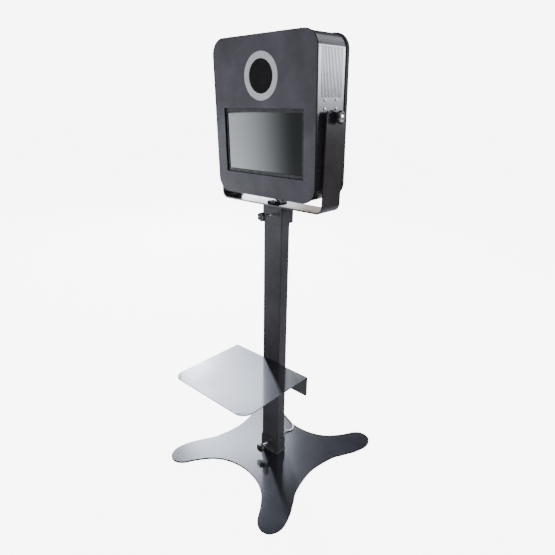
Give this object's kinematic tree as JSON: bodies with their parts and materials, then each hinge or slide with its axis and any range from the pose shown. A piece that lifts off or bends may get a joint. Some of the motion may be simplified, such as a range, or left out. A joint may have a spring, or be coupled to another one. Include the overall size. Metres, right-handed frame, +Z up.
{
  "type": "open-air photo booth",
  "caption": "Free-standing photo booth: flat cabinet with ring light, camera window and touch display, tilting in a yoke on a column with a shelf and an X-shaped base.",
  "frame": {"origin": "centre of the column's section on the underside of the base plate, at floor level", "axes": "+Z up, the display and ring light face -Y, +X is to the right of a person facing them"},
  "size_m": [0.592, 0.6908, 1.5901],
  "materials": {
    "charcoal_paint": "fine satin powder coat",
    "knob_plastic": "satin moulded",
    "chrome": "polished plating",
    "zinc_steel": "bright zinc plating",
    "supply_case": "satin sheet",
    "black_rubber": "matt",
    "black_plastic": "satin moulded",
    "white_plastic": "smooth flexible jacket",
    "ring_diffuser": "opal diffuser",
    "circuit_board": "white solder mask",
    "dark_glass": "dark tinted",
    "screen_glass": "glossy over a dark display",
    "lens_glass": "coated"
  },
  "bodies": {
    "stand": {"base_plate": "charcoal_paint", "base_socket": "charcoal_paint", "column": "charcoal_paint", "shelf": "charcoal_paint", "shelf_screw_upper_left": "zinc_steel", "shelf_screw_upper_right": "zinc_steel", "shelf_screw_lower_left": "zinc_steel", "shelf_screw_lower_right": "zinc_steel", "cord_gland": "white_plastic", "power_cord": "white_plastic", "cord_coil": "white_plastic", "cord_tail": "white_plastic", "mains_plug": "white_plastic"},
    "base_hand_screw": {"base_clamp_knob": "knob_plastic", "base_clamp_stud": "chrome"},
    "collar": {"top_collar": "charcoal_paint"},
    "collar_hand_screw": {"collar_clamp_knob": "knob_plastic", "collar_clamp_stud": "chrome"},
    "yoke": {"yoke": "charcoal_paint", "friction_disc": "black_rubber", "pan_nut": "zinc_steel", "pan_bolt": "zinc_steel"},
    "head": {"front_panel": "charcoal_paint", "front_seal": "black_rubber", "ring_diffuser": "ring_diffuser", "led_ring_board": "circuit_board", "camera_window": "dark_glass", "screen_bezel": "black_plastic", "touch_glass": "screen_glass", "display_module": "black_plastic", "display_bracket": "zinc_steel", "shell_band": "charcoal_paint", "camera_shelf": "zinc_steel", "side_screw_1": "zinc_steel", "side_screw_2": "zinc_steel", "side_screw_3": "zinc_steel", "side_screw_4": "zinc_steel", "rear_frame": "charcoal_paint", "hinge_frame_leaf": "zinc_steel", "switch_body": "black_plastic", "tilt_spacer_left": "black_plastic", "tilt_spacer_right": "black_plastic", "control_computer": "black_plastic", "power_supply": "supply_case", "fan_housing": "black_plastic"},
    "left_hand_screw": {"tilt_left_knob": "knob_plastic", "tilt_left_stud": "chrome"},
    "right_hand_screw": {"tilt_right_knob": "knob_plastic", "tilt_right_stud": "chrome"},
    "door": {"rear_door": "charcoal_paint", "hinge_door_leaf": "zinc_steel"},
    "lock": {"door_lock": "chrome"},
    "camera": {"camera_tray": "zinc_steel", "camera_body": "black_plastic", "camera_screw": "black_plastic", "lens_barrel": "black_plastic", "front_lens": "lens_glass"},
    "zoom": {"zoom_ring": "black_rubber"},
    "fan": {"fan_rotor": "black_plastic"},
    "rocker": {"switch_rocker": "black_plastic"}
  },
  "joints": [
    {"name": "base_screw_turn", "type": "hinge", "parent": "stand", "child": "base_hand_screw", "pos_m": [0, -0.0261, 0.049], "axis": [0, -1, 0], "continuous": true},
    {"name": "collar_lift", "type": "slide", "parent": "stand", "child": "collar", "axis": [0, 0, 1], "range_m": [0, 0.04]},
    {"name": "collar_screw_turn", "type": "hinge", "parent": "collar", "child": "collar_hand_screw", "pos_m": [0, -0.0261, 1.027], "axis": [0, -1, 0], "continuous": true},
    {"name": "yoke_pan", "type": "hinge", "parent": "collar", "child": "yoke", "pos_m": [0, 0, 1.061], "axis": [0, 0, 1], "range_deg": [-90, 90]},
    {"name": "head_tilt", "type": "hinge", "parent": "yoke", "child": "head", "pos_m": [0, 0, 1.352], "axis": [1, 0, 0], "range_deg": [-30, 25]},
    {"name": "left_screw_turn", "type": "hinge", "parent": "head", "child": "left_hand_screw", "pos_m": [-0.2295, 0, 1.352], "axis": [-1, 0, 0], "continuous": true},
    {"name": "right_screw_turn", "type": "hinge", "parent": "head", "child": "right_hand_screw", "pos_m": [0.2295, 0, 1.352], "axis": [1, 0, 0], "continuous": true},
    {"name": "door_swing", "type": "hinge", "parent": "head", "child": "door", "pos_m": [-0.187, 0.08255, 1.34545], "axis": [0, -0.0419, 0.9991], "range_deg": [0, 110]},
    {"name": "lock_turn", "type": "hinge", "parent": "door", "child": "lock", "pos_m": [0.163, 0.07835, 1.34527], "axis": [0, 0.9991, 0.0419], "range_deg": [-90, 0]},
    {"name": "camera_slide", "type": "slide", "parent": "head", "child": "camera", "axis": [0, 0.9991, 0.0419], "range_m": [-0.008, 0.015]},
    {"name": "zoom_turn", "type": "hinge", "parent": "camera", "child": "zoom", "pos_m": [0, -0.0552, 1.46779], "axis": [0, 0.9991, 0.0419], "range_deg": [0, 90]},
    {"name": "fan_spin", "type": "hinge", "parent": "head", "child": "fan", "pos_m": [0.1997, -0.01077, 1.48967], "axis": [1, 0, 0], "continuous": true},
    {"name": "switch_rock", "type": "hinge", "parent": "head", "child": "rocker", "pos_m": [-0.11, 0.08498, 1.11535], "axis": [0, -0.0419, 0.9991], "range_deg": [-14, 0]}
  ]
}
